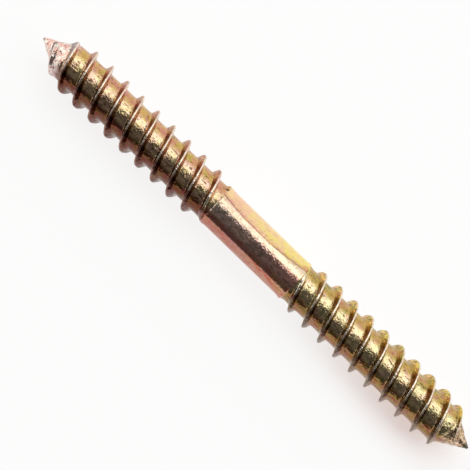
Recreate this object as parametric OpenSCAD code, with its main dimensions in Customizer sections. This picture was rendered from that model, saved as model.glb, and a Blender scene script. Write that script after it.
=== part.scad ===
// Double-ended wood screw: a plain round shank in the middle, and at each end a coarse rolled
// thread with twin ridges that runs out on a conical point. It lies along X on its thread crests.

/* [Overall] */
// Length from tip to tip
overall_length = 80; // [64:1:140]

/* [Shank] */
// Diameter of the plain shank
shank_d = 6.2; // [6:0.05:7.4]
// Length of the plain shank between the two threads
shank_length = 15; // [4:0.5:28]
// Height of the rim that rolling the threads has pushed up at each end of the shank
rim_height = 0.1; // [0.04:0.02:0.2]
// Length over which the shank swells to that rim
rim_length = 0.8; // [0.3:0.1:1.8]
// Height of the small step down from the shank to the collar, not counting the rim
shank_step = 0.1; // [0.04:0.02:0.16]
// Length of the collar between that step and the slope down to the thread root
collar_length = 0.15; // [0.1:0.05:0.5]
// Length of the slope from the collar down to the thread root
shoulder_length = 0.6; // [0.3:0.1:2]

/* [Thread] */
// Diameter over the crests
crest_d = 7.8; // [7.2:0.1:8.6]
// Diameter at the root
root_d = 5.65; // [5:0.05:5.95]
// Distance along the screw from one ridge to the next
ridge_spacing = 2.9; // [2.3:0.1:4.5]
// Number of ridges that wind side by side
starts = 2; // [1:1:3]
// Angle between the two flanks of a ridge
flank_angle = 34; // [26:1:56]
// Width of the narrow land on a crest
crest_width = 0.14; // [0.06:0.02:0.4]
// Width of the hollow where a flank meets the root
foot_width = 0.68; // [0.2:0.02:0.8]
// Length over which the ridges rise beside the shank
run_in_length = 3; // [1:0.1:6]
// Length over which the ridges die away towards the tip
run_out_length = 5.6; // [2:0.1:8]
// Share of a ridge spacing by which the right-hand end's thread is turned
right_phase = 0.68; // [0:0.01:1]
// Share of a ridge spacing by which the left-hand end's thread is turned
left_phase = 0.98; // [0:0.01:1]

/* [Point] */
// Length of the conical point
point_length = 4.6; // [3:0.1:8]
// Length of the point that has no ridge, at the tip
bare_tip_length = 1.7; // [0.5:0.1:2.5]
// Diameter of the blunt tip
tip_d = 0.3; // [0.1:0.05:0.8]

/* [Hidden] */

// Flat sides round the thread, a multiple of four so that it lies on one of them
sides = 28;
// How deep each threaded end is rooted inside the shank
seat_depth = 1;
// Share of the ridge's height at which the hollow at its foot runs into the flank
foot_share = 0.24;
// Width of root that is left bare between two ridges, at the least
least_root = 0.1;

collar_r = shank_d / 2 - shank_step;
root_r = root_d / 2;
tip_r = tip_d / 2;
ridge_height = (crest_d - root_d) / 2;
end_length = (overall_length - shank_length) / 2;
shoulder_end = collar_length + shoulder_length;
cone_start = end_length - point_length;
thread_end = end_length - bare_tip_length;
axis_height = crest_d / 2 * cos(180 / sides);

// Half a ridge's outline from foot to crest: distance from its middle, share of its height
flank_run = ridge_height * tan(flank_angle / 2);
half_crest = crest_width / 2;
half_foot = min(half_crest + flank_run + foot_width / 2, (ridge_spacing - least_root) / 2);
half_ridge = [
    [half_foot, 0],
    [half_crest + flank_run * (1 - foot_share), foot_share],
    [half_crest, 1],
];
last_half = len(half_ridge) - 1;
ridge_outline = concat(
    [for (p = half_ridge) [-p[0], p[1]]],
    [for (i = [last_half:-1:0]) half_ridge[i]]
);
outline_count = len(ridge_outline);

// Rows of points wind round with the thread, from before the collar to past the thread's end
first_ridge = -starts - 2;
ridge_count = ceil(thread_end / ridge_spacing) + starts + 4;
row_count = ridge_count * outline_count;
turn_rows = starts * outline_count;

function between(a, b, share) = a + (b - a) * share;
function limit(value, low, high) = min(max(value, low), high);

// Radius of the core, without ridges, at a distance x from the shank
function core_radius(x) =
    x < collar_length ? collar_r
    : x < shoulder_end ? between(collar_r, root_r, (x - collar_length) / shoulder_length)
    : x < cone_start ? root_r
    : between(root_r, tip_r, (x - cone_start) / point_length);

// Height of a ridge's crest above the core at a distance x from the shank
function ridge_height_at(x) =
    ridge_height * limit(min(x / run_in_length, (thread_end - x) / run_out_length), 0, 1);

// Distance from the shank of a row's point on one of the lines along the thread
function row_distance(row, line, phase) =
    let (ridge = first_ridge + floor(row / outline_count) + starts * line / sides + phase)
    ridge * ridge_spacing + ridge_outline[row % outline_count][0];

// A point on the thread's skin, from its distance along the screw, its radius and its line
function skin_point(x, radius, line) =
    let (angle = (line + 0.5) * 360 / sides)
    [x, radius * cos(angle), radius * sin(angle)];

function row_point(row, line, phase) =
    let (x = limit(row_distance(row, line, phase), collar_length, thread_end))
    let (share = ridge_outline[row % outline_count][1])
    skin_point(x, core_radius(x) + share * ridge_height_at(x), line);

// A threaded end with its point, which starts at x = 0 where the shank stops
module threaded_end(phase) {
    lines = [0 : sides - 1];
    rows = [0 : row_count - 1];
    stride = row_count + 2;
    points = [
        for (line = lines)
            each concat(
                [skin_point(-seat_depth, collar_r, line)],
                [for (row = rows) row_point(row, line, phase)],
                [skin_point(end_length, tip_r, line)]
            )
    ];
    // On each line, the last row that is still on the collar and the first that is past the thread
    first_row = [
        for (line = lines)
            len([for (row = rows) if (row_distance(row, line, phase) <= collar_length) row]) - 1
    ];
    last_row = [
        for (line = lines)
            len([for (row = rows) if (row_distance(row, line, phase) < thread_end) row])
    ];
    // Past the last line, a row carries on as a later row of the first line
    function seat_index(line) = (line % sides) * stride;
    function tip_index(line) = seat_index(line) + stride - 1;
    function row_index(row, line) =
        line == sides ? row_index(row + turn_rows, 0)
        : line * stride + 1 + limit(row, first_row[line], last_row[line]);
    function both_halves(a, b, c, d) = [[a, b, c], [a, c, d]];

    patches = [
        for (line = lines)
            each concat(
                both_halves(
                    seat_index(line), row_index(0, line),
                    row_index(0, line + 1), seat_index(line + 1)
                ),
                [
                    for (row = [0 : row_count - 2])
                        each both_halves(
                            row_index(row, line), row_index(row + 1, line),
                            row_index(row + 1, line + 1), row_index(row, line + 1)
                        )
                ],
                both_halves(
                    row_index(row_count, line), tip_index(line),
                    tip_index(line + 1), row_index(row_count, line + 1)
                )
            )
    ];
    faces = concat(
        [[for (line = lines) seat_index(line)]],
        [for (t = patches) if (t[0] != t[1] && t[1] != t[2] && t[2] != t[0]) t],
        [[for (line = [sides - 1 : -1 : 0]) tip_index(line)]]
    );
    polyhedron(points = points, faces = faces);
}

module shank() {
    shank_r = shank_d / 2;
    rim_r = shank_r + rim_height;
    half = shank_length / 2;
    rotate([0, 90, 0])
        rotate_extrude($fn = 96)
            polygon([
                [0, -half], [rim_r, -half], [shank_r, rim_length - half],
                [shank_r, half - rim_length], [rim_r, half], [0, half],
            ]);
}

module screw() {
    color([0.80, 0.62, 0.30])
        translate([0, 0, axis_height]) {
            shank();
            translate([shank_length / 2, 0, 0])
                threaded_end(right_phase);
            rotate([0, 0, 180])
                translate([shank_length / 2, 0, 0])
                    threaded_end(left_phase);
        }
}

screw();
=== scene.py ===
"""A double-ended wood screw: rolled steel, zinc plated and yellow passivated, lying on a pale floor."""
import math
from collections import namedtuple
from types import SimpleNamespace

import bpy
from mathutils import Matrix, Vector, noise


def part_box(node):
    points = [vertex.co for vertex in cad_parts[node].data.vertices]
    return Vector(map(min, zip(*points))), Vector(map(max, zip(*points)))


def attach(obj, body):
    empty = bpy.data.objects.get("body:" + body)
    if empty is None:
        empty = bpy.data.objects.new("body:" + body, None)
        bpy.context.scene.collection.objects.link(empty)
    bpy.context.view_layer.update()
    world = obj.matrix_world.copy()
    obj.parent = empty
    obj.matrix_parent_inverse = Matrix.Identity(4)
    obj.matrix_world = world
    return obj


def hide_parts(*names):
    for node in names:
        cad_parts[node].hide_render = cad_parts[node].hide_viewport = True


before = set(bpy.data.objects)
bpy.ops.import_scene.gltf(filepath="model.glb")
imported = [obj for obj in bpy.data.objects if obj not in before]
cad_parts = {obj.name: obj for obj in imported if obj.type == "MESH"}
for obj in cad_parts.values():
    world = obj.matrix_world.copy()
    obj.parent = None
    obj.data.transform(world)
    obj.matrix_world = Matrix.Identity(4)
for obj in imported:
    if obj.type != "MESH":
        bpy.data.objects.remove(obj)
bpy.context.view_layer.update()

MM = 0.001

# Outer sizes, from the frame
screw_low, screw_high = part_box("screw")
SCREW_LENGTH = screw_high.x - screw_low.x
AXIS_HEIGHT = (screw_low.z + screw_high.z) / 2
CREST_RADIUS = AXIS_HEIGHT - screw_low.z

# Shank, with a swollen rim, a step down to a collar and a shoulder at each end
SHANK_RADIUS = 3.1 * MM
SHANK_LENGTH = 15 * MM
HALF_SHANK_RINGS = 20
RIM_HEIGHT = 0.1 * MM
RIM_LENGTH = 0.8 * MM
RIM_LAND_LENGTH = 0.02 * MM
RIM_RINGS = 3
STEP_LENGTH = 0.08 * MM
COLLAR_RADIUS = 3.0 * MM
COLLAR_LENGTH = 0.1 * MM
SHOULDER_LENGTH = 0.28 * MM

# Thread, with twin ridges that wind side by side, turned by a share of their spacing
ROOT_RADIUS = 2.825 * MM
RIDGE_HEIGHT = CREST_RADIUS - ROOT_RADIUS
RIDGE_SPACING = 2.9 * MM
RIDGE_STARTS = 2
RIGHT_PHASE = 0.68
LEFT_PHASE = 0.98
FLANK_ANGLE = math.radians(34)
CREST_WIDTH = 0.2 * MM

# Roundings of a ridge, and the height up to which it counts less as one, as shares of its full height
FOOT_ROUNDING = 0.40
CREST_ROUNDING = 0.1
FAINT_HEIGHT = 0.2

# Run-in beside the shank and run-out towards the tip, where a power below 1 is fuller than a ramp
RUN_IN_LENGTH = 3 * MM
RUN_IN_CURVE = 0.55
RUN_IN_FULLNESS = 0.45
RUN_OUT_LENGTH = 5.6 * MM
RUN_OUT_CURVE = 0.5

# Winding: half a ridge's points by distance from its middle, columns to a turn, ridges to cut off at an end
OUTLINE_DISTANCES = [d * MM for d in (0, 0.04, 0.08, 0.12, 0.18, 0.26, 0.35, 0.45, 0.58, 0.76, 1.04)]
COLUMNS = 120
SPARE_RIDGES = 2
RIDGE_ATTRIBUTE = "ridge_share"

# Point
POINT_LENGTH = 4.6 * MM
BARE_TIP_LENGTH = 1.7 * MM
TIP_RADIUS = 0.15 * MM
TIP_EDGE_WIDTH = TIP_RADIUS * 0.5
TIP_CROWN_HEIGHT = TIP_RADIUS * 0.3
TIP_RINGS = 8

# Marks left by the rolling dies: the size and the depth of their unevenness, and the seed of its pattern
Mark = namedtuple("Mark", "size depth seed")
SHANK_DENT = Mark(1.2 * MM, 0.006 * MM, 1)
SHANK_DENT_STRETCH = 5
ROOT_DENT = Mark(0.8 * MM, 0.014 * MM, 2)
CREST_WAVE = Mark(1.3 * MM, 0.05 * MM, 3)
POINT_DENT = Mark(1.0 * MM, 0.10 * MM, 4)
CREST_WANDER = Mark(1.9 * MM, 0.07 * MM, 5)
CREST_NICK = Mark(0.5 * MM, 0.16 * MM, 7)
NICK_LEVEL = 0.3

# Burr beside the left rim
BURR_HEIGHT = 0.4 * MM
BURR_RADIUS = 0.28 * MM
BURR_OFFSET = 0.3 * MM
BURR_TURN = math.radians(24)

# Softbox
SOFTBOX_LEAN = math.radians(28)
SOFTBOX_DISTANCE = 1.2
SOFTBOX_SHIFT = 0.5
SOFTBOX_WIDTH = 0.86
SOFTBOX_LENGTH = 2.4
SOFTBOX_POWER = 9.4

# Dark cloth in a pale room, its edges in degrees from straight up or, in front, from the floor
CLOTH_BACK_EDGE = 50
CLOTH_BACK_BLUR = 2
CLOTH_FRONT_EDGE = 2
CLOTH_FRONT_BLUR = 4
CLOTH_LEFT_EDGE = 54
CLOTH_RIGHT_EDGE = 82
CLOTH_SIDE_BLUR = 8
CLOTH_COLOUR = (0.122, 0.117, 0.119)
ROOM_COLOUR = (0.95, 0.95, 0.95)
LEFT_CARD_COLOUR = (1.5, 1.5, 1.5)

# Floor, with its own colour and its painted glow, which lightens its shadows, in general and in a long
# dimmer patch under the right end, where the shadow is painted deeper
FLOOR_RADIUS = 3
FLOOR_SIDES = 96
FLOOR_ROUGHNESS = 0.9
FLOOR_PALE = (0.20, 0.215, 0.22)
FLOOR_GLOW = (0.865, 0.855, 0.85)
DIM_FLOOR_PALE = (0.65, 0.855, 0.90)
DIM_FLOOR_GLOW = (0.60, 0.48, 0.45)
DIM_PATCH_X = 46 * MM
DIM_PATCH_Y = -2 * MM
DIM_PATCH_REACH = (40 * MM, 12 * MM)
DIM_PATCH_SQUEEZE = 5

# Camera, with pixels counted from the picture's upper left corner
PICTURE_SIDE = 470
LEFT_TIP_PIXEL = (44, 38.2)
RIGHT_TIP_PIXEL = (467.5, 448.2)
VIEW_DISTANCE = 180 * MM
VIEW_LEAN = math.radians(7)
SENSOR_WIDTH = 36 * MM
CLIP_START = 9 * MM

# Places along a threaded end, by distance from the shank
END_LENGTH = (SCREW_LENGTH - SHANK_LENGTH) / 2
CONE_START = END_LENGTH - POINT_LENGTH
THREAD_END = END_LENGTH - BARE_TIP_LENGTH
FLANK_RUN = RIDGE_HEIGHT * math.tan(FLANK_ANGLE / 2)

# Distances that count as none, between vertices and beside the ends of a thread
NEAR = 0.002 * MM
SLIVER = 0.01 * MM


def limit(value, low, high):
    return min(max(value, low), high)


def between(start, end, share):
    return start + (end - start) * share


# The shape of a threaded end, by distance from the shank


def core_radius(x):
    """Radius of the screw without its ridges."""
    if x < COLLAR_LENGTH:
        return COLLAR_RADIUS
    if x < COLLAR_LENGTH + SHOULDER_LENGTH:
        return between(COLLAR_RADIUS, ROOT_RADIUS, (x - COLLAR_LENGTH) / SHOULDER_LENGTH)
    if x < CONE_START:
        return ROOT_RADIUS
    return between(ROOT_RADIUS, TIP_RADIUS, (x - CONE_START) / POINT_LENGTH)


def ridge_height(x):
    """Height of a crest above the core: it rises beside the shank and dies away towards the tip."""
    rise = max(0, x / RUN_IN_LENGTH) ** RUN_IN_CURVE
    fall = max(0, (THREAD_END - x) / RUN_OUT_LENGTH) ** RUN_OUT_CURVE
    return RIDGE_HEIGHT * min(rise, fall, 1)


def rounded_floor(value, rounding):
    """The value where it is above zero, running into zero in a rounded hollow."""
    return (value + math.sqrt(value * value + rounding * rounding)) / 2


def ridge_share(distance):
    """Share of a ridge's full height at a distance from the middle of its crest."""
    flank = 1 - (distance - CREST_WIDTH / 2) / FLANK_RUN
    hollow_foot = rounded_floor(flank, FOOT_ROUNDING)
    return 1 - rounded_floor(1 - hollow_foot, CREST_ROUNDING)


# Steps of work on the mesh in hand


def deselect_everything():
    bpy.ops.object.select_all(action="DESELECT")


def select_vertices(piece, chosen):
    """Leaves only the vertices that the test picks selected, in edit mode."""
    bpy.ops.mesh.select_mode(type="VERT")
    bpy.ops.mesh.select_all(action="DESELECT")
    bpy.ops.object.mode_set(mode="OBJECT")
    for vertex in piece.data.vertices:
        vertex.select = chosen(vertex.co)
    bpy.ops.object.mode_set(mode="EDIT")
    bpy.ops.mesh.select_mode(type="EDGE")


def extrude_ring(step, scale):
    """Carries the selected ring on along the screw and widens or narrows it."""
    bpy.ops.mesh.extrude_region_move(TRANSFORM_OT_translate={"value": (step, 0, 0)})
    bpy.ops.transform.resize(value=(1, scale, scale), center_override=(0, 0, 0))


def apply_modifier(piece, kind, **settings):
    modifier = piece.modifiers.new(kind.title(), kind)
    for name, value in settings.items():
        setattr(modifier, name, value)
    bpy.ops.object.modifier_apply(modifier=modifier.name)


def ridge_outline(phase):
    """One ridge's outline in the plane above the axis, drawn from foot to foot."""
    first_ridge = -RIDGE_STARTS - SPARE_RIDGES
    # The plane above the axis is a quarter turn on from where the phase is counted
    quarter_turn = RIDGE_STARTS / 4
    middle = (first_ridge + quarter_turn + phase) * RIDGE_SPACING
    half = OUTLINE_DISTANCES
    distances = [-RIDGE_SPACING / 2] + [-d for d in reversed(half)] + half[1:] + [RIDGE_SPACING / 2]
    return [
        Vector((middle + d, 0, ROOT_RADIUS + RIDGE_HEIGHT * ridge_share(abs(d))))
        for d in distances
    ]


def wind_thread(name, phase):
    """A rough thread: an outline drawn by extruding a point, repeated along the axis and wound round it."""
    outline = ridge_outline(phase)
    deselect_everything()
    bpy.ops.mesh.primitive_plane_add(size=RIDGE_HEIGHT, location=(0, 0, 0))
    piece = bpy.context.object
    piece.name = name
    bpy.ops.object.mode_set(mode="EDIT")
    bpy.ops.mesh.select_mode(type="VERT")
    bpy.ops.mesh.select_all(action="SELECT")
    bpy.ops.mesh.merge(type="CENTER")
    bpy.ops.transform.translate(value=outline[0])
    for start, end in zip(outline, outline[1:]):
        bpy.ops.mesh.extrude_region_move(TRANSFORM_OT_translate={"value": end - start})
    bpy.ops.object.mode_set(mode="OBJECT")
    ridge_count = math.ceil(THREAD_END / RIDGE_SPACING) + RIDGE_STARTS + 2 * SPARE_RIDGES
    apply_modifier(
        piece, "ARRAY", count=ridge_count, use_relative_offset=False, use_constant_offset=True,
        constant_offset_displace=(RIDGE_SPACING, 0, 0), use_merge_vertices=True, merge_threshold=NEAR,
    )
    apply_modifier(
        piece, "SCREW", axis="X", angle=math.tau, screw_offset=RIDGE_STARTS * RIDGE_SPACING,
        steps=COLUMNS, render_steps=COLUMNS,
    )
    return piece


def stopped_at_ends(x):
    """A distance along the thread, kept to its length, with no slivers left beside either end."""
    if x < SLIVER:
        return 0
    if x > THREAD_END - SLIVER:
        return THREAD_END
    return x


def fit_thread(piece):
    """Stops the thread at the shank and near the tip, gives it run-in and run-out, and notes its ridges."""
    shares = piece.data.attributes.new(RIDGE_ATTRIBUTE, "FLOAT", "POINT")
    for vertex in piece.data.vertices:
        radius = math.hypot(vertex.co.y, vertex.co.z)
        share = max(0, radius - ROOT_RADIUS) / RIDGE_HEIGHT
        x = stopped_at_ends(vertex.co.x)
        share **= between(RUN_IN_FULLNESS, 1, min(1, x / RUN_IN_LENGTH))
        height = ridge_height(x)
        fitted = core_radius(x) + share * height
        vertex.co = (x, vertex.co.y * fitted / radius, vertex.co.z * fitted / radius)
        shares.data[vertex.index].value = share * min(1, height / (RIDGE_HEIGHT * FAINT_HEIGHT))
    bpy.ops.object.mode_set(mode="EDIT")
    bpy.ops.mesh.select_all(action="SELECT")
    bpy.ops.mesh.remove_doubles(threshold=NEAR)


def draw_tip(piece):
    """Carries the thread's last ring on to the blunt tip and closes it."""
    select_vertices(piece, lambda co: co.x > THREAD_END - NEAR)
    step = BARE_TIP_LENGTH / TIP_RINGS
    for ring in range(TIP_RINGS):
        x = THREAD_END + ring * step
        extrude_ring(step, core_radius(x + step) / core_radius(x))
    bpy.ops.mesh.edge_face_add()
    bpy.ops.mesh.inset(thickness=TIP_EDGE_WIDTH, depth=TIP_CROWN_HEIGHT)
    bpy.ops.mesh.poke()


def draw_half_shank(piece):
    """Carries the thread's first ring up to the rim, down its swell and back to the middle of the shank."""
    select_vertices(piece, lambda co: co.x < NEAR)
    rim_radius = SHANK_RADIUS + RIM_HEIGHT
    extrude_ring(-STEP_LENGTH, rim_radius / COLLAR_RADIUS)
    extrude_ring(-RIM_LAND_LENGTH, 1)
    radius = rim_radius
    for ring in range(RIM_RINGS):
        share = math.cos((ring + 1) / RIM_RINGS * math.pi) / 2 + 0.5
        next_radius = SHANK_RADIUS + RIM_HEIGHT * share
        extrude_ring(-RIM_LENGTH / RIM_RINGS, next_radius / radius)
        radius = next_radius
    rest = SHANK_LENGTH / 2 - STEP_LENGTH - RIM_LAND_LENGTH - RIM_LENGTH
    for ring in range(HALF_SHANK_RINGS):
        extrude_ring(-rest / HALF_SHANK_RINGS, 1)


def threaded_end(name, phase):
    """Half the screw, with its shank's middle at the origin and its tip towards +X."""
    piece = wind_thread(name, phase)
    fit_thread(piece)
    draw_tip(piece)
    draw_half_shank(piece)
    bpy.ops.mesh.select_all(action="SELECT")
    bpy.ops.transform.translate(value=(SHANK_LENGTH / 2, 0, 0))
    bpy.ops.object.mode_set(mode="OBJECT")
    return piece


def turn_end_for_end(piece):
    piece.data.transform(Matrix.Rotation(math.pi, 4, "Z"))


def join_halves(right, left):
    deselect_everything()
    left.select_set(True)
    right.select_set(True)
    bpy.context.view_layer.objects.active = right
    bpy.ops.object.join()
    bpy.ops.object.mode_set(mode="EDIT")
    bpy.ops.mesh.select_all(action="SELECT")
    bpy.ops.mesh.remove_doubles(threshold=NEAR)
    bpy.ops.mesh.normals_make_consistent(inside=False)
    bpy.ops.object.mode_set(mode="OBJECT")
    bpy.ops.object.shade_smooth()
    return right


# Unevenness, worked into the mesh while its axis still lies on X


def unevenness(place, mark):
    """A smooth change of the mark's size and depth, in a pattern of its own."""
    return mark.depth * noise.noise(place / mark.size + Vector((mark.seed, mark.seed, mark.seed)))


def nick(place):
    """A bite out of a crest, wherever the unevenness comes above a share of its depth."""
    excess = unevenness(place, CREST_NICK) - NICK_LEVEL * CREST_NICK.depth
    return -max(0, excess) / (1 - NICK_LEVEL)


def burr(place):
    """A curl of metal beside the left rim, where the thread begins."""
    turn = Vector((0, math.cos(BURR_TURN), math.sin(BURR_TURN))) * COLLAR_RADIUS
    middle = Vector((-SHANK_LENGTH / 2 - BURR_OFFSET, 0, 0)) + turn
    return BURR_HEIGHT * math.exp(-((place - middle).length / BURR_RADIUS) ** 2)


def add_marks(piece):
    """Wears the crests, dents the roots and the points, and leaves the shank a little wavy."""
    for vertex in piece.data.vertices:
        place = vertex.co.copy()
        radius = math.hypot(place.y, place.z)
        from_shank = abs(place.x) - SHANK_LENGTH / 2
        if from_shank < NEAR:
            along = Vector((place.x / SHANK_DENT_STRETCH, place.y, place.z))
            rise = unevenness(along, SHANK_DENT) + burr(place)
        else:
            share = limit((radius - core_radius(from_shank)) / RIDGE_HEIGHT, 0, 1)
            rise = unevenness(place, ROOT_DENT) * (1 - share) + burr(place)
            rise += share * (unevenness(place, CREST_WAVE) + nick(place))
            on_point = limit((from_shank - CONE_START) / POINT_LENGTH, 0, 1)
            rise += unevenness(place, POINT_DENT) * math.sin(on_point * math.pi)
            vertex.co.x += share * unevenness(place, CREST_WANDER)
        grown = max(radius + rise, NEAR) / max(radius, NEAR)
        vertex.co.y *= grown
        vertex.co.z *= grown


def lay_on_floor(piece):
    piece.data.transform(Matrix.Translation((0, 0, AXIS_HEIGHT)))


# Nodes


def fill(tree, socket, value):
    """Gives a socket a number, a colour or another node's output."""
    if isinstance(value, bpy.types.NodeSocket):
        tree.links.new(value, socket)
    elif isinstance(value, tuple):
        socket.default_value = (*value, 1)
    else:
        socket.default_value = value


def calculate(tree, operation, first, second=0.0):
    node = tree.nodes.new("ShaderNodeMath")
    node.operation = operation
    fill(tree, node.inputs[0], first)
    fill(tree, node.inputs[1], second)
    return node.outputs[0]


def plus(tree, first, second):
    return calculate(tree, "ADD", first, second)


def minus(tree, first, second):
    return calculate(tree, "SUBTRACT", first, second)


def times(tree, first, second):
    return calculate(tree, "MULTIPLY", first, second)


def rise_between(tree, value, start, end):
    """Goes smoothly from 0 where the value is at the start to 1 at the end, whichever is the larger."""
    node = tree.nodes.new("ShaderNodeMapRange")
    node.interpolation_type = "SMOOTHSTEP"
    fill(tree, node.inputs["Value"], value)
    node.inputs["From Min"].default_value = start
    node.inputs["From Max"].default_value = end
    return node.outputs[0]


def span(tree, share, at_none, at_full):
    """Takes a share from 0 to 1 to a range of its own."""
    node = tree.nodes.new("ShaderNodeMapRange")
    fill(tree, node.inputs["Value"], share)
    node.inputs["To Min"].default_value = at_none
    node.inputs["To Max"].default_value = at_full
    return node.outputs[0]


def scaled(tree, value, share, at_none, at_full):
    """Multiplies a value by one factor where the share is 0 and by another where it is 1."""
    return times(tree, value, span(tree, share, at_none, at_full))


def blend(tree, share, first, second):
    """Goes from the first colour to the second one."""
    node = tree.nodes.new("ShaderNodeMix")
    node.data_type = "RGBA"
    fill(tree, node.inputs["Factor"], share)
    fill(tree, node.inputs[6], first)
    fill(tree, node.inputs[7], second)
    return node.outputs[2]


def blend_values(tree, share, first, second):
    """Goes from the first number to the second one."""
    node = tree.nodes.new("ShaderNodeMix")
    fill(tree, node.inputs["Factor"], share)
    fill(tree, node.inputs[2], first)
    fill(tree, node.inputs[3], second)
    return node.outputs[0]


def tinted(tree, colour, tint):
    node = tree.nodes.new("ShaderNodeMix")
    node.data_type = "RGBA"
    node.blend_type = "MULTIPLY"
    node.inputs["Factor"].default_value = 1
    fill(tree, node.inputs[6], colour)
    fill(tree, node.inputs[7], tint)
    return node.outputs[2]


def split(tree, vector):
    node = tree.nodes.new("ShaderNodeSeparateXYZ")
    tree.links.new(vector, node.inputs[0])
    return node.outputs


def distance_to(tree, place, point):
    node = tree.nodes.new("ShaderNodeVectorMath")
    node.operation = "DISTANCE"
    tree.links.new(place, node.inputs[0])
    node.inputs[1].default_value = point
    return node.outputs["Value"]


def mottle(tree, place, size, detail=2.0, stretch=(1, 1, 1), distortion=0.0):
    """Cloudy noise with spots of about the given size, drawn out along the axes by the stretch."""
    mapping = tree.nodes.new("ShaderNodeMapping")
    mapping.inputs["Scale"].default_value = [1 / (size * s) for s in stretch]
    tree.links.new(place, mapping.inputs["Vector"])
    node = tree.nodes.new("ShaderNodeTexNoise")
    node.inputs["Scale"].default_value = 1
    node.inputs["Detail"].default_value = detail
    node.inputs["Distortion"].default_value = distortion
    tree.links.new(mapping.outputs[0], node.inputs["Vector"])
    return node.outputs[0]


def tints(tree, share, stops):
    """Colours along a scale from 0 to 1."""
    ramp = tree.nodes.new("ShaderNodeValToRGB")
    elements = ramp.color_ramp.elements
    while len(elements) < len(stops):
        elements.new(0.5)
    for element, (position, colour) in zip(elements, stops):
        element.position = position
        element.color = (*colour, 1)
    tree.links.new(share, ramp.inputs[0])
    return ramp.outputs[0]


def bump(tree, height, depth, under=None):
    node = tree.nodes.new("ShaderNodeBump")
    node.inputs["Strength"].default_value = 1
    node.inputs["Distance"].default_value = depth
    tree.links.new(height, node.inputs["Height"])
    if under:
        tree.links.new(under, node.inputs["Normal"])
    return node.outputs[0]


# Colours of the finish

NO_TINT = (1, 1, 1)
PINK = (0.95, 0.50, 0.42)
COPPER = (0.96, 0.62, 0.38)
GOLD = (0.96, 0.70, 0.34)
YELLOW = (0.96, 0.78, 0.22)
OLIVE = (0.70, 0.71, 0.25)
# Painted reflection: the softbox's dark edge as a brown line along the shank, and a painted purple shade
# beside it
PAINTED_EDGE_BROWN = (0.30, 0.16, 0.08)
PAINTED_EDGE_SHADE = (0.80, 0.66, 0.80)
DULL_TONE = (0.82, 0.78, 0.76)
STAIN_ORANGE = (0.72, 0.36, 0.18)
DARK_BAND_SPOT_TONE = (0.52, 0.56, 0.54)
EAR_DARK = (0.55, 0.46, 0.42)
STREAK_RED = (1.0, 0.56, 0.58)
LEFT_POINT_PINK = (0.90, 0.52, 0.48)
# Painted highlight: pale spots on the left point
LEFT_POINT_PAINTED_HIGHLIGHT = (1.0, 0.92, 0.86)
# Painted shade on a crescent of the left point
PAINTED_CRESCENT_SHADING = (0.30, 0.24, 0.24)
RIGHT_POINT_BROWN = (0.22, 0.12, 0.08)
RIGHT_POINT_COPPER = (0.60, 0.36, 0.20)
RIGHT_POINT_ROSE = (0.92, 0.70, 0.58)
# Painted shade on the flanks
PAINTED_FLANK_SHADING = (0.32, 0.21, 0.18)
# Brown of the pits, and of the painted shadow under the burr
PIT_AND_SHADOW_BROWN = (0.16, 0.08, 0.04)
CREST_PALE = (0.95, 0.88, 0.78)
NIB_DARK = (0.16, 0.15, 0.11)

# Scales of colour, by the level of the film's hue or of a mottle
FILM_SCALE = [(0.27, PINK), (0.40, COPPER), (0.50, GOLD), (0.62, YELLOW), (0.75, OLIVE)]
DULL_SCALE = [(0.34, DULL_TONE), (0.52, NO_TINT)]
DARK_BAND_SPOT_SCALE = [(0.38, DARK_BAND_SPOT_TONE), (0.62, NO_TINT)]
EAR_SCALE = [(0.42, EAR_DARK), (0.56, NO_TINT)]
LEFT_POINT_SCALE = [(0.42, LEFT_POINT_PINK), (0.56, LEFT_POINT_PAINTED_HIGHLIGHT)]
RIGHT_POINT_SCALE = [(0.42, RIGHT_POINT_BROWN), (0.53, RIGHT_POINT_COPPER), (0.63, RIGHT_POINT_ROSE)]

# Tints of the left thread, of the shank's left and right ends and of the right thread
ZONE_ENDS = [x * MM for x in (-7.8, -7.4, 7.4, 7.8)]
ZONE_REACH = 10 * MM
# Paler tints of the top, where the highlight and the dark reflected band fall
PALE_TOP_TINTS = ((0.88, 0.79, 0.66), (0.88, 0.80, 0.70), (0.92, 0.80, 0.76), (0.91, 0.83, 0.70))
# Painted light and shade by side: where the highlight falls, in the dark reflected band, on the back and on
# the front underside
PAINTED_HIGHLIGHT_TINTS = ((0.98, 0.90, 0.80), (0.93, 0.87, 0.79), (1.0, 0.96, 0.98), (1.0, 0.95, 0.84))
PAINTED_DARK_BAND_TINTS = ((0.94, 0.84, 0.68), NO_TINT, (1.0, 0.62, 0.74), (0.92, 0.82, 0.70))
PAINTED_BACK_SHADING = ((0.70, 0.58, 0.46), NO_TINT, NO_TINT, (0.62, 0.51, 0.43))
PAINTED_RIDGE_BACK_SHADING = ((0.94, 0.74, 0.66), NO_TINT, NO_TINT, (1.0, 0.94, 0.84))
# Painted shade on the front underside, deepest on the left thread
PAINTED_FRONT_SHADING = ((0.17, 0.11, 0.09), (0.50, 0.37, 0.40), (0.56, 0.42, 0.62), (0.35, 0.28, 0.26))
PAINTED_RIDGE_FRONT_SHADING = ((0.24, 0.13, 0.115), (0.46, 0.30, 0.34), (0.50, 0.34, 0.46), (0.21, 0.15, 0.14))
# Painted shade on the flanks towards the sides
PAINTED_SIDE_FLANK_SHADING = ((0.76, 0.60, 0.52), NO_TINT, NO_TINT, (0.98, 0.88, 0.72))

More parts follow.
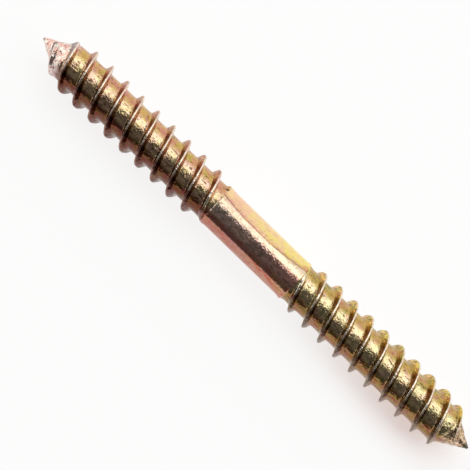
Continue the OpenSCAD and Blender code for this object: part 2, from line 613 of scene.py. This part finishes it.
# Mottles: the size of their spots, how fine their detail goes, and how they are drawn out and twisted
CLOUDS = dict(size=1.3 * MM, detail=4, distortion=0.8)
STREAKS = dict(size=0.3 * MM, stretch=(6, 1, 1))
EDGE_WAVES = dict(size=0.6 * MM)
DULL_SPOTS = dict(size=0.45 * MM, detail=3, distortion=0.5)
DARK_BAND_SPOTS = dict(size=0.5 * MM, detail=3, stretch=(2, 1, 1), distortion=1)
EAR_SPOTS = dict(size=0.7 * MM, detail=3)
RED_STREAKS = dict(size=0.3 * MM, stretch=(5, 1, 1))
LEFT_BLOTCHES = dict(size=0.7 * MM, detail=3)
RIGHT_BLOTCHES = dict(size=0.4 * MM, detail=3)
SPECKS = dict(size=0.28 * MM, stretch=(2.6, 1, 1))
BARE_SPOTS = dict(size=0.5 * MM)
WORN_SPOTS = dict(size=0.9 * MM, detail=3)
HAIRS = dict(size=0.16 * MM, detail=1, stretch=(1, 3.5, 3.5))
GRAIN = dict(size=0.26 * MM)
DENTS = dict(size=0.5 * MM)
MOTTLE_MIDDLE = 0.5

# Levels of a mottle over which its streaks and pits come in
RED_STREAK_LEVELS = (0.48, 0.62)
PIT_LEVELS = (0.60, 0.66)

# Zones along the screw and away from the shank, by where they begin and where they are full
POINT_START = SHANK_LENGTH / 2 + CONE_START
THREAD_START = (-0.1 * MM, 0.3 * MM)
FLANK_START = (0.6 * MM, 1.6 * MM)
LEFT_POINT_START = (-POINT_START + 1 * MM, -POINT_START - 1 * MM)
RIGHT_POINT_START = (POINT_START + 0.4 * MM, POINT_START + 1.8 * MM)
NIB_START = (SCREW_LENGTH / 2 - 1.0 * MM, SCREW_LENGTH / 2 - 0.5 * MM)

# Zones across the screw, from its back at +Y to its front at -Y, in the same way
SIDES_START = (1.5 * MM, 2.4 * MM)
BACK_FILM_START = (0.8 * MM, 1.7 * MM)
UPPER_HALF_START = (0, 0.5 * MM)
LOWER_HALF_START = (0.8 * MM, -0.2 * MM)
SHADOW_START = (0.35 * MM, -0.05 * MM)
SMOOTH_START = (-0.5 * MM, -1.3 * MM)
FRONT_START = (-1.2 * MM, -1.9 * MM)

# Zones by share of a ridge's height, and by how far the surface faces along X
RIDGE_START = (0.2, 0.5)
CREST_START = (0.90, 0.97)
RIGHT_FLANK_START = (0.78, 0.94)
WEDGE_START = (0.75, 0.92)
WEDGE_SLANT = 0.2 / MM
CRESCENT_START = (-0.58, -0.74)

# Hue of the film: its drift from left to right and from front to back
HUE_DRIFT_PLACES = (-8 * MM, 8 * MM)
HUE_DRIFT = (0.40, 0.55)
CROSS_DRIFT = 0.04 / SHANK_RADIUS

# Strengths on the shank and on the threads
CLOUD_STRENGTH = (0.35, 1.4)
STREAK_STRENGTH = (0.28, 0.3)
THREAD_HUE = (0, 0.02)
HUE_LIMIT = (0.62, 0.8)
CLEAN_FILM_STRENGTH = (0.8, 0)
PIT_STRENGTH = (0.2, 0.9)
GRAIN_STRENGTH = (0.6, 1)

# The painted reflection edge along the shank sags in the middle: its Y at the middle, its tilt, its curve,
# its wobble
PAINTED_EDGE = 0.9 * MM
PAINTED_EDGE_TILT = 0.015
PAINTED_EDGE_CURVE = 0.0113 / MM
PAINTED_EDGE_WOBBLE = 0.08 * MM

# Distances past that edge over which the film, the painted brown reflection line and the painted purple
# shade beside it come in
FILM_START = (-0.1 * MM, 0.05 * MM)
EDGE_LINE_START = (0.09 * MM, 0.03 * MM)
EDGE_LINE_STRENGTH = 0.75
PAINTED_EDGE_SHADE_START = (0.6 * MM, 0.05 * MM)

# Pale top, blotched points and bare crests, as shares
PALE_TOP_SHARE = 0.55
LEFT_POINT_SHARE = 0.7
RIGHT_POINT_SHARE = 0.75
BARE_SHARES = (0.2, 1.2)
BARE_ON_FRONT = 0.15
BARE_ON_RIGHT_POINT = 0.15

# Orange stain beside the right rim, and the painted shadow under the burr
STAIN_PLACE = (7.2 * MM, 1.9 * MM, AXIS_HEIGHT + 2.46 * MM)
STAIN_REACH = (0.8 * MM, 0.2 * MM)
STAIN_SHARE = 0.7
BURR_SHADOW_PLACE = (-7.75 * MM, 2.35 * MM, AXIS_HEIGHT + 1.85 * MM)
BURR_SHADOW_REACH = (0.4 * MM, 0.2 * MM)

# Roughness and relief, both of them less on the smooth front
ROUGHNESS = (0.05, 0.3)
FLANK_ROUGHNESS = 0.12
PIT_ROUGHNESS = 0.2
ROUGHNESS_ON_FRONT = 0.5
HAIR_DEPTH = 0.07 * MM
HAIRS_ON_FRONT = 0.2
GRAIN_DEPTH = 0.065 * MM
GRAIN_ON_FRONT = 0.3
DENT_DEPTH = 0.09 * MM


def new_material(name):
    material = bpy.data.materials.new(name)
    material.use_nodes = True
    return material, material.node_tree, material.node_tree.nodes["Principled BSDF"]


def find_zones(tree):
    """Where a point lies on the screw: its place and facing, and its share in each zone, from 0 to 1."""
    coordinates = tree.nodes.new("ShaderNodeTexCoord")
    place = coordinates.outputs["Object"]
    along = split(tree, place)
    from_middle = calculate(tree, "ABSOLUTE", along["X"])
    from_shank = minus(tree, from_middle, SHANK_LENGTH / 2)
    from_axis = calculate(tree, "ABSOLUTE", along["Y"])
    ridge = tree.nodes.new("ShaderNodeAttribute")
    ridge.attribute_name = RIDGE_ATTRIBUTE
    height = ridge.outputs["Fac"]
    return SimpleNamespace(
        place=place,
        along=along,
        facing=split(tree, coordinates.outputs["Normal"]),
        from_shank=from_shank,
        thread=rise_between(tree, from_shank, *THREAD_START),
        ridge=rise_between(tree, height, *RIDGE_START),
        crest=rise_between(tree, height, *CREST_START),
        left_point=rise_between(tree, along["X"], *LEFT_POINT_START),
        right_point=rise_between(tree, along["X"], *RIGHT_POINT_START),
        sides=rise_between(tree, from_axis, *SIDES_START),
        shadow=rise_between(tree, along["Y"], *SHADOW_START),
        smooth=rise_between(tree, along["Y"], *SMOOTH_START),
        front=rise_between(tree, along["Y"], *FRONT_START),
    )


def past_painted_edge(tree, zones):
    """Distance past the painted reflection edge on the shank, which sags and wobbles a little."""
    bend = times(tree, zones.along["X"], PAINTED_EDGE_CURVE)
    sag = times(tree, zones.along["X"], plus(tree, bend, PAINTED_EDGE_TILT))
    waves = mottle(tree, zones.place, **EDGE_WAVES)
    wobble = span(tree, waves, PAINTED_EDGE - PAINTED_EDGE_WOBBLE, PAINTED_EDGE + PAINTED_EDGE_WOBBLE)
    return minus(tree, zones.along["Y"], plus(tree, wobble, sag))


def find_film(tree, zones):
    """Where the film is whole: past the sharp painted reflection edge on the shank, and on the back of the
    threads.
    """
    past_edge = past_painted_edge(tree, zones)
    on_shank = rise_between(tree, past_edge, *FILM_START)
    on_threads = rise_between(tree, zones.along["Y"], *BACK_FILM_START)
    whole = blend_values(tree, zones.thread, on_shank, on_threads)
    return SimpleNamespace(past_edge=past_edge, on_shank=on_shank, whole=whole)


def flanks_with_painted_shade(tree, zones):
    """Share of a flank that gets painted shade: a wedge of each left one, and the lower half of each right
    one.
    """
    across = zones.along["Y"]
    wedge = minus(tree, times(tree, across, WEDGE_SLANT), zones.facing["X"])
    wedge = rise_between(tree, wedge, *WEDGE_START)
    wedge = times(tree, wedge, rise_between(tree, across, *UPPER_HALF_START))
    wedge = scaled(tree, wedge, zones.left_point, 1, 0)
    right_flank = rise_between(tree, zones.facing["X"], *RIGHT_FLANK_START)
    right_flank = times(tree, right_flank, rise_between(tree, across, *LOWER_HALF_START))
    flanks = calculate(tree, "MAXIMUM", wedge, right_flank)
    return times(tree, flanks, rise_between(tree, zones.from_shank, *FLANK_START))


def brown_pits(tree, zones):
    pits = rise_between(tree, mottle(tree, zones.place, **SPECKS), *PIT_LEVELS)
    return scaled(tree, pits, zones.thread, *PIT_STRENGTH)


def along_screw(tree, zones, colours):
    """Colours of the left thread, the shank's left and right ends and the right thread, by place."""
    share = plus(tree, times(tree, zones.along["X"], 0.5 / ZONE_REACH), 0.5)
    positions = [0.5 + 0.5 * end / ZONE_REACH for end in ZONE_ENDS]
    return tints(tree, share, list(zip(positions, colours)))


def film_hue(tree, zones):
    """Place on the scale of film colours: cloudy and streaky, pinker on the left, yellower on the right."""
    clouds = minus(tree, mottle(tree, zones.place, **CLOUDS), MOTTLE_MIDDLE)
    clouds = scaled(tree, clouds, zones.thread, *CLOUD_STRENGTH)
    streaks = minus(tree, mottle(tree, zones.place, **STREAKS), MOTTLE_MIDDLE)
    streaks = scaled(tree, streaks, zones.thread, *STREAK_STRENGTH)
    cross_drift = times(tree, zones.along["Y"], CROSS_DRIFT)
    hue = span(tree, rise_between(tree, zones.along["X"], *HUE_DRIFT_PLACES), *HUE_DRIFT)
    for part in (clouds, streaks, cross_drift, span(tree, zones.thread, *THREAD_HUE)):
        hue = plus(tree, hue, part)
    return calculate(tree, "MINIMUM", hue, span(tree, zones.thread, *HUE_LIMIT))


def film_colour(tree, zones, film):
    """The film's colour, paler on the top where the highlight and the dark reflected band fall, with a
    painted brown reflection line along the shank and a painted purple shade beside it.
    """
    colour = tints(tree, film_hue(tree, zones), FILM_SCALE)
    pale_top = minus(tree, minus(tree, 1.0, film.whole), zones.front)
    pale_top = times(tree, pale_top, PALE_TOP_SHARE)
    colour = blend(tree, pale_top, colour, along_screw(tree, zones, PALE_TOP_TINTS))
    # Painted reflection of the softbox's dark edge, as a brown line along the shank
    painted_edge_line = rise_between(tree, calculate(tree, "ABSOLUTE", film.past_edge), *EDGE_LINE_START)
    painted_edge_line = times(tree, painted_edge_line, minus(tree, EDGE_LINE_STRENGTH, zones.thread))
    colour = blend(tree, painted_edge_line, colour, PAINTED_EDGE_BROWN)
    # Painted purple shade just past that line
    painted_edge_shade_share = times(tree, film.on_shank, rise_between(tree, film.past_edge, *PAINTED_EDGE_SHADE_START))
    painted_edge_shade_share = scaled(tree, painted_edge_shade_share, zones.thread, 1, 0)
    colour = tinted(tree, colour, blend(tree, painted_edge_shade_share, NO_TINT, PAINTED_EDGE_SHADE))
    dull = tints(tree, mottle(tree, zones.place, **DULL_SPOTS), DULL_SCALE)
    clean_film = scaled(tree, film.on_shank, zones.thread, *CLEAN_FILM_STRENGTH)
    colour = tinted(tree, colour, blend(tree, clean_film, dull, NO_TINT))
    from_stain = distance_to(tree, zones.place, STAIN_PLACE)
    stain = times(tree, rise_between(tree, from_stain, *STAIN_REACH), STAIN_SHARE)
    return blend(tree, stain, colour, STAIN_ORANGE)


def film_shade(tree, zones, film):
    """Painted light and shade by side: tints where the highlight falls and, in spots, in the dark reflected
    band on the top; painted shade on the back of the thread roots, with tinted ridges there; and a much
    darker painted shade on the front underside, deepest on the left thread.
    """
    # Tints where the highlight falls, and spotted tints in the dark reflected band
    dark_band_spots = tints(tree, mottle(tree, zones.place, **DARK_BAND_SPOTS), DARK_BAND_SPOT_SCALE)
    painted_dark_band = tinted(tree, along_screw(tree, zones, PAINTED_DARK_BAND_TINTS), dark_band_spots)
    shade = blend(tree, zones.shadow, along_screw(tree, zones, PAINTED_HIGHLIGHT_TINTS), painted_dark_band)
    # Painted shade on the back of the roots, with tinted ridges
    ear_tone = tints(tree, mottle(tree, zones.place, **EAR_SPOTS), EAR_SCALE)
    ridge_back = tinted(tree, along_screw(tree, zones, PAINTED_RIDGE_BACK_SHADING), ear_tone)
    back = blend(tree, zones.ridge, along_screw(tree, zones, PAINTED_BACK_SHADING), ridge_back)
    shade = blend(tree, film.whole, shade, back)
    # Painted shade on the front underside, with random red streaks on the roots
    red_streaks = rise_between(tree, mottle(tree, zones.place, **RED_STREAKS), *RED_STREAK_LEVELS)
    streak_tint = blend(tree, red_streaks, NO_TINT, STREAK_RED)
    root_front = tinted(tree, along_screw(tree, zones, PAINTED_FRONT_SHADING), streak_tint)
    ridge_front = tinted(tree, along_screw(tree, zones, PAINTED_RIDGE_FRONT_SHADING), ear_tone)
    front = blend(tree, zones.ridge, root_front, ridge_front)
    return blend(tree, zones.front, shade, front)


def blotch_points(tree, zones, colour):
    """Makes the left point pink in spots and pale in others, as a painted highlight, and the right one
    brown, copper and rose.
    """
    left_point = tints(tree, mottle(tree, zones.place, **LEFT_BLOTCHES), LEFT_POINT_SCALE)
    colour = blend(tree, times(tree, zones.left_point, LEFT_POINT_SHARE), colour, left_point)
    right_point = tints(tree, mottle(tree, zones.place, **RIGHT_BLOTCHES), RIGHT_POINT_SCALE)
    return blend(tree, times(tree, zones.right_point, RIGHT_POINT_SHARE), colour, right_point)


def paint_flank_shade(tree, zones, colour, flanks):
    """Paints shade on the ridges' flanks, and a painted shaded crescent on the left point."""
    painted_flank_tint = blend(tree, zones.sides, PAINTED_FLANK_SHADING, along_screw(tree, zones, PAINTED_SIDE_FLANK_SHADING))
    colour = tinted(tree, colour, blend(tree, flanks, NO_TINT, painted_flank_tint))
    crescent = times(tree, rise_between(tree, zones.facing["X"], *CRESCENT_START), zones.left_point)
    return tinted(tree, colour, blend(tree, crescent, NO_TINT, PAINTED_CRESCENT_SHADING))


def mark_surface(tree, zones, colour, pits):
    """Adds brown pits, a painted shadow under the burr, bare crests and the dark nib of the right point."""
    colour = blend(tree, pits, colour, PIT_AND_SHADOW_BROWN)
    from_burr = distance_to(tree, zones.place, BURR_SHADOW_PLACE)
    # Painted shadow under the burr
    colour = blend(tree, rise_between(tree, from_burr, *BURR_SHADOW_REACH), colour, PIT_AND_SHADOW_BROWN)
    bare = scaled(tree, zones.crest, mottle(tree, zones.place, **BARE_SPOTS), *BARE_SHARES)
    # Bare crests are wear; on the front underside they stay less pale, as painted shade
    bare = scaled(tree, bare, zones.front, 1, BARE_ON_FRONT)
    bare = scaled(tree, bare, zones.right_point, 1, BARE_ON_RIGHT_POINT)
    colour = blend(tree, bare, colour, CREST_PALE)
    at_nib = rise_between(tree, zones.along["X"], *NIB_START)
    return blend(tree, at_nib, colour, NIB_DARK)


def worn_roughness(tree, zones, flanks, pits):
    """Patchy gloss, duller on the dark flanks and in the pits."""
    rough = span(tree, mottle(tree, zones.place, **WORN_SPOTS), *ROUGHNESS)
    rough = plus(tree, rough, times(tree, flanks, FLANK_ROUGHNESS))
    rough = plus(tree, rough, times(tree, pits, PIT_ROUGHNESS))
    return scaled(tree, rough, zones.smooth, 1, ROUGHNESS_ON_FRONT)


def rolled_relief(tree, zones):
    """Hair lines across the shank, fine grain, and dents on the threads."""
    hairs = scaled(tree, mottle(tree, zones.place, **HAIRS), zones.thread, 1, 0)
    hairs = scaled(tree, hairs, zones.smooth, 1, HAIRS_ON_FRONT)
    relief = bump(tree, hairs, HAIR_DEPTH)
    grain = scaled(tree, mottle(tree, zones.place, **GRAIN), zones.thread, *GRAIN_STRENGTH)
    grain = scaled(tree, grain, zones.smooth, 1, GRAIN_ON_FRONT)
    relief = bump(tree, grain, GRAIN_DEPTH, relief)
    dents = times(tree, mottle(tree, zones.place, **DENTS), zones.thread)
    return bump(tree, dents, DENT_DEPTH, relief)


def yellow_zinc():
    """Passivated zinc: gold that drifts to pink on the left and to yellow and olive on the right."""
    material, tree, shader = new_material("yellow_zinc")
    zones = find_zones(tree)
    film = find_film(tree, zones)
    flanks = flanks_with_painted_shade(tree, zones)
    pits = brown_pits(tree, zones)
    colour = film_colour(tree, zones, film)
    colour = tinted(tree, colour, film_shade(tree, zones, film))
    colour = blotch_points(tree, zones, colour)
    colour = paint_flank_shade(tree, zones, colour, flanks)
    colour = mark_surface(tree, zones, colour, pits)
    shader.inputs["Metallic"].default_value = 1
    fill(tree, shader.inputs["Base Color"], colour)
    fill(tree, shader.inputs["Roughness"], worn_roughness(tree, zones, flanks, pits))
    fill(tree, shader.inputs["Normal"], rolled_relief(tree, zones))
    return material


def floor_white():
    """A white board with a painted glow that lightens its shadows, weaker under the right end, where it
    paints the shadow deeper.
    """
    material, tree, shader = new_material("floor_white")
    squeezed = tree.nodes.new("ShaderNodeMapping")
    squeezed.inputs["Scale"].default_value = (1, DIM_PATCH_SQUEEZE, 1)
    coordinates = tree.nodes.new("ShaderNodeTexCoord")
    tree.links.new(coordinates.outputs["Object"], squeezed.inputs["Vector"])
    middle = (DIM_PATCH_X, DIM_PATCH_Y * DIM_PATCH_SQUEEZE, 0)
    from_middle = distance_to(tree, squeezed.outputs[0], middle)
    dim = rise_between(tree, from_middle, *DIM_PATCH_REACH)
    fill(tree, shader.inputs["Base Color"], blend(tree, dim, FLOOR_PALE, DIM_FLOOR_PALE))
    fill(tree, shader.inputs["Emission Color"], blend(tree, dim, FLOOR_GLOW, DIM_FLOOR_GLOW))
    shader.inputs["Roughness"].default_value = FLOOR_ROUGHNESS
    shader.inputs["Specular IOR Level"].default_value = 0
    shader.inputs["Emission Strength"].default_value = 1
    return material


# Stage


def lay_floor():
    deselect_everything()
    bpy.ops.mesh.primitive_circle_add(
        vertices=FLOOR_SIDES, radius=FLOOR_RADIUS, fill_type="NGON", location=(0, 0, 0)
    )
    floor = bpy.context.object
    floor.name = "floor"
    floor.data.materials.append(floor_white())


def hang_softbox():
    """A long softbox above and behind the screw, which gives the bright band along it."""
    lamp = bpy.data.lights.new("softbox", "AREA")
    lamp.shape = "RECTANGLE"
    lamp.size = SOFTBOX_LENGTH
    lamp.size_y = SOFTBOX_WIDTH
    lamp.energy = SOFTBOX_POWER
    softbox = bpy.data.objects.new("softbox", lamp)
    back = SOFTBOX_DISTANCE * math.sin(SOFTBOX_LEAN)
    height = SOFTBOX_DISTANCE * math.cos(SOFTBOX_LEAN)
    softbox.location = (SOFTBOX_SHIFT, back, height)
    softbox.rotation_euler = (-SOFTBOX_LEAN, 0, 0)
    bpy.context.scene.collection.objects.link(softbox)


def beyond_side(tree, sideways, edge):
    """Share of the room that shows past one side edge of the cloth."""
    edge_end = edge + CLOTH_SIDE_BLUR
    return rise_between(tree, sideways, math.sin(math.radians(edge)), math.sin(math.radians(edge_end)))


def surround():
    """A pale room with a white card on the left and a dark cloth over the front and the top of the table."""
    world = bpy.data.worlds.new("studio")
    bpy.context.scene.world = world
    world.use_nodes = True
    tree = world.node_tree
    direction = split(tree, tree.nodes.new("ShaderNodeTexCoord").outputs["Generated"])
    lean = calculate(tree, "ARCTAN2", direction["Y"], direction["Z"])
    back_edge = math.radians(CLOTH_BACK_EDGE)
    behind = rise_between(tree, lean, back_edge, math.radians(CLOTH_BACK_EDGE + CLOTH_BACK_BLUR))
    front_edge = math.radians(CLOTH_FRONT_EDGE + CLOTH_FRONT_BLUR)
    front_end = math.radians(CLOTH_FRONT_EDGE)
    below = rise_between(tree, direction["Z"], math.sin(front_edge), math.sin(front_end))
    on_right = beyond_side(tree, direction["X"], CLOTH_RIGHT_EDGE)
    on_left = beyond_side(tree, times(tree, direction["X"], -1), CLOTH_LEFT_EDGE)
    pale = behind
    for part in (below, on_right, on_left):
        pale = calculate(tree, "MAXIMUM", pale, part)
    room = blend(tree, on_left, ROOM_COLOUR, LEFT_CARD_COLOUR)
    colour = blend(tree, pale, CLOTH_COLOUR, room)
    fill(tree, tree.nodes["Background"].inputs["Color"], colour)


def set_camera():
    """Looks down on the screw as the picture does, from a little in front of it."""
    along = Vector((1, 0, 0))
    across = Vector((0, math.cos(VIEW_LEAN), math.sin(VIEW_LEAN)))
    towards_camera = Vector((0, -math.sin(VIEW_LEAN), math.cos(VIEW_LEAN)))
    left_tip = Vector(LEFT_TIP_PIXEL)
    right_tip = Vector(RIGHT_TIP_PIXEL)
    run = (right_tip - left_tip).normalized()
    pixel_size = SCREW_LENGTH / (right_tip - left_tip).length
    right = run.x * along + run.y * across
    up = -run.y * along + run.x * across
    off_centre = (left_tip + right_tip) / 2 - Vector((PICTURE_SIDE, PICTURE_SIDE)) / 2
    screw_middle = Vector((0, 0, AXIS_HEIGHT))
    aim = screw_middle - right * off_centre.x * pixel_size + up * off_centre.y * pixel_size
    lens = bpy.data.cameras.new("camera")
    lens.sensor_width = SENSOR_WIDTH / MM
    lens.lens = VIEW_DISTANCE / (PICTURE_SIDE * pixel_size) * SENSOR_WIDTH / MM
    lens.clip_start = CLIP_START
    camera = bpy.data.objects.new("camera", lens)
    turn = Matrix((right, up, towards_camera)).transposed().to_4x4()
    camera.matrix_world = Matrix.Translation(aim + towards_camera * VIEW_DISTANCE) @ turn
    bpy.context.scene.collection.objects.link(camera)
    bpy.context.scene.camera = camera


right_end = threaded_end("plated_screw", RIGHT_PHASE)
left_end = threaded_end("left_end", LEFT_PHASE)
turn_end_for_end(left_end)
screw = join_halves(right_end, left_end)
add_marks(screw)
lay_on_floor(screw)
screw.data.materials.clear()
screw.data.materials.append(yellow_zinc())
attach(screw, "root")
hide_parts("screw")

lay_floor()
hang_softbox()
surround()
set_camera()
bpy.context.scene.view_settings.view_transform = "Standard"
